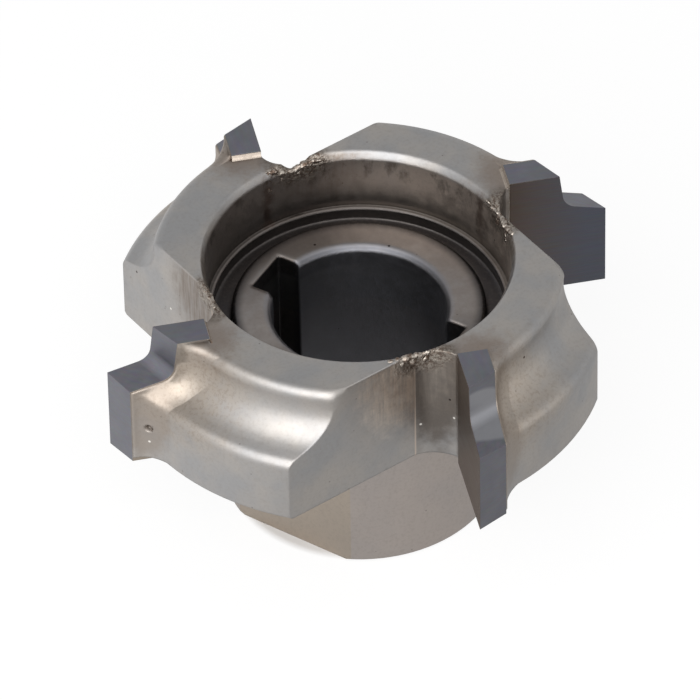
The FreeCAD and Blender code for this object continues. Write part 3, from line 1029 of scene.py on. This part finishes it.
# %% White paper floor
CAMERA_LEVEL = 1.1
GLOW = 0.78
FLOOR_HALF = 4.0
paper, tree = new_material("white_paper")
spot = add(tree, "ShaderNodeTexCoord")
from_axis = add(tree, "ShaderNodeVectorMath", {0: spot.outputs["Object"]}, operation="LENGTH")
open_floor = add(
    tree, "ShaderNodeMapRange", {"Value": from_axis, "From Min": 14.8 * MM, "From Max": 15.8 * MM}
)
ray = add(tree, "ShaderNodeLightPath")
across = add(
    tree, "ShaderNodeVectorMath", {0: spot.outputs["Object"], 1: (0.98, -0.2, 0)},
    operation="DOT_PRODUCT"
)
shaded = add(
    tree, "ShaderNodeMapRange",
    {"Value": across, "From Min": -0.045, "From Max": 0.0, "To Min": 1.0, "To Max": 0.57},
    interpolation_type="SMOOTHSTEP"
)
mirrored = add(
    tree, "ShaderNodeMath", {0: shaded, 1: ray.outputs["Is Glossy Ray"]}, operation="MULTIPLY"
)
level = add(
    tree, "ShaderNodeMath", {0: ray.outputs["Is Camera Ray"], 1: CAMERA_LEVEL, 2: mirrored},
    operation="MULTIPLY_ADD"
)
seen = add(
    tree, "ShaderNodeMath", {0: ray.outputs["Is Camera Ray"], 1: ray.outputs["Is Glossy Ray"]},
    operation="ADD", use_clamp=True
)
seen = add(tree, "ShaderNodeMath", {0: seen, 1: GLOW}, operation="MULTIPLY")
share = add(tree, "ShaderNodeMath", {0: open_floor, 1: seen}, operation="MULTIPLY")
matt = add(tree, "ShaderNodeBsdfDiffuse", {"Color": colour("#f6f6f6")})
white = add(tree, "ShaderNodeEmission", {"Color": (1, 1, 1, 1), "Strength": level})
both = add(tree, "ShaderNodeMixShader", {0: share, 1: matt, 2: white})
add(tree, "ShaderNodeOutputMaterial", {"Surface": both})
shape = bmesh.new()
bmesh.ops.create_grid(shape, x_segments=1, y_segments=1, size=FLOOR_HALF)
floor = finished_piece(shape, "floor", paper)
print("paper", [round(side, 1) for side in floor.dimensions], "m")

# %% [markdown]
# The walls of the tent are white and its roof is greyer. That is why the flat
# top of the head looks darker than its rim, which mirrors the bright paper.
# The tent could be a mesh of white cloth with lamps outside. A world that
# only glossy rays see as a tent does the same with no noise, and a plain
# level of 0.45 fills the shadows.

# %% White tent
world = bpy.data.worlds.new("white_tent")
bpy.context.scene.world = world
world.use_nodes = True
tree = world.node_tree
tree.nodes.clear()
way = add(tree, "ShaderNodeTexCoord")
turned = add(
    tree, "ShaderNodeMapping",
    {"Vector": way.outputs["Generated"], "Rotation": (0, 0, -camera_turn)}
)
slope = add(tree, "ShaderNodeSeparateXYZ", {0: turned})
front = add(tree, "ShaderNodeMath", {0: slope.outputs["Y"], 1: -1.0}, operation="MULTIPLY")
arch = add(tree, "ShaderNodeMath", {0: slope.outputs["Z"], 1: front}, operation="ARCTAN2")
level = add(tree, "ShaderNodeMapRange", {"Value": arch, "From Max": math.pi})
roof = add(tree, "ShaderNodeValToRGB", {0: level})
# Place on the arch, from 0 in front over 0.5 overhead to 1 behind, and brightness there
stops = [(0.0, 1.0), (0.36, 1.0), (0.52, 0.8), (0.64, 0.42), (0.7, 0.5), (0.78, 0.66), (1.0, 0.75)]
while len(roof.color_ramp.elements) < len(stops):
    roof.color_ramp.elements.new(0.5)
for element, (place, value) in zip(roof.color_ramp.elements, stops):
    element.position = place
    element.color = (value * 0.98, value * 0.99, value, 1)
ray = add(tree, "ShaderNodeLightPath")
mirrored = add(
    tree, "ShaderNodeMath",
    {0: ray.outputs["Is Glossy Ray"], 1: ray.outputs["Is Transmission Ray"]}, operation="ADD",
    use_clamp=True
)
fill = add(
    tree, "ShaderNodeMix", {"Factor": mirrored, "A": (0.45, 0.45, 0.45, 1), "B": roof},
    data_type="RGBA"
)
level = add(
    tree, "ShaderNodeMix",
    {"Factor": ray.outputs["Is Camera Ray"], "A": fill, "B": (1, 1, 1, 1)},
    data_type="RGBA"
)
sky = add(tree, "ShaderNodeBackground", {"Color": level, "Strength": 1.0})
add(tree, "ShaderNodeOutputWorld", {"Surface": sky})
print("white tent:", len(tree.nodes), "nodes")

# %% [markdown]
# One large soft box stands in front on the left. It makes the wide highlight
# in the hollow and the bright lines along the rounded edges. A glowing mesh
# would look the same, but an area lamp leaves less noise in the picture.

# %% Soft box
box_turn = math.radians(-106) + camera_turn
box_height = math.radians(32)
box_distance, box_size, box_power = 0.6, 0.72, 3.2
box_data = bpy.data.lights.new("front_box", "AREA")
box_data.shape = "SQUARE"
box_data.size = box_size
box_data.energy = box_power
box = bpy.data.objects.new("front_box", box_data)
bpy.context.scene.collection.objects.link(box)
level = math.cos(box_height)
way = Vector((math.cos(box_turn) * level, math.sin(box_turn) * level, math.sin(box_height)))
box.location = Vector((0, 0, 0.02)) + way * box_distance
box.rotation_euler = way.to_track_quat("Z", "Y").to_euler()
print("soft box at level", round(box_power / (math.pi * box_size ** 2), 2))
bpy.context.scene.view_settings.view_transform = "Standard"
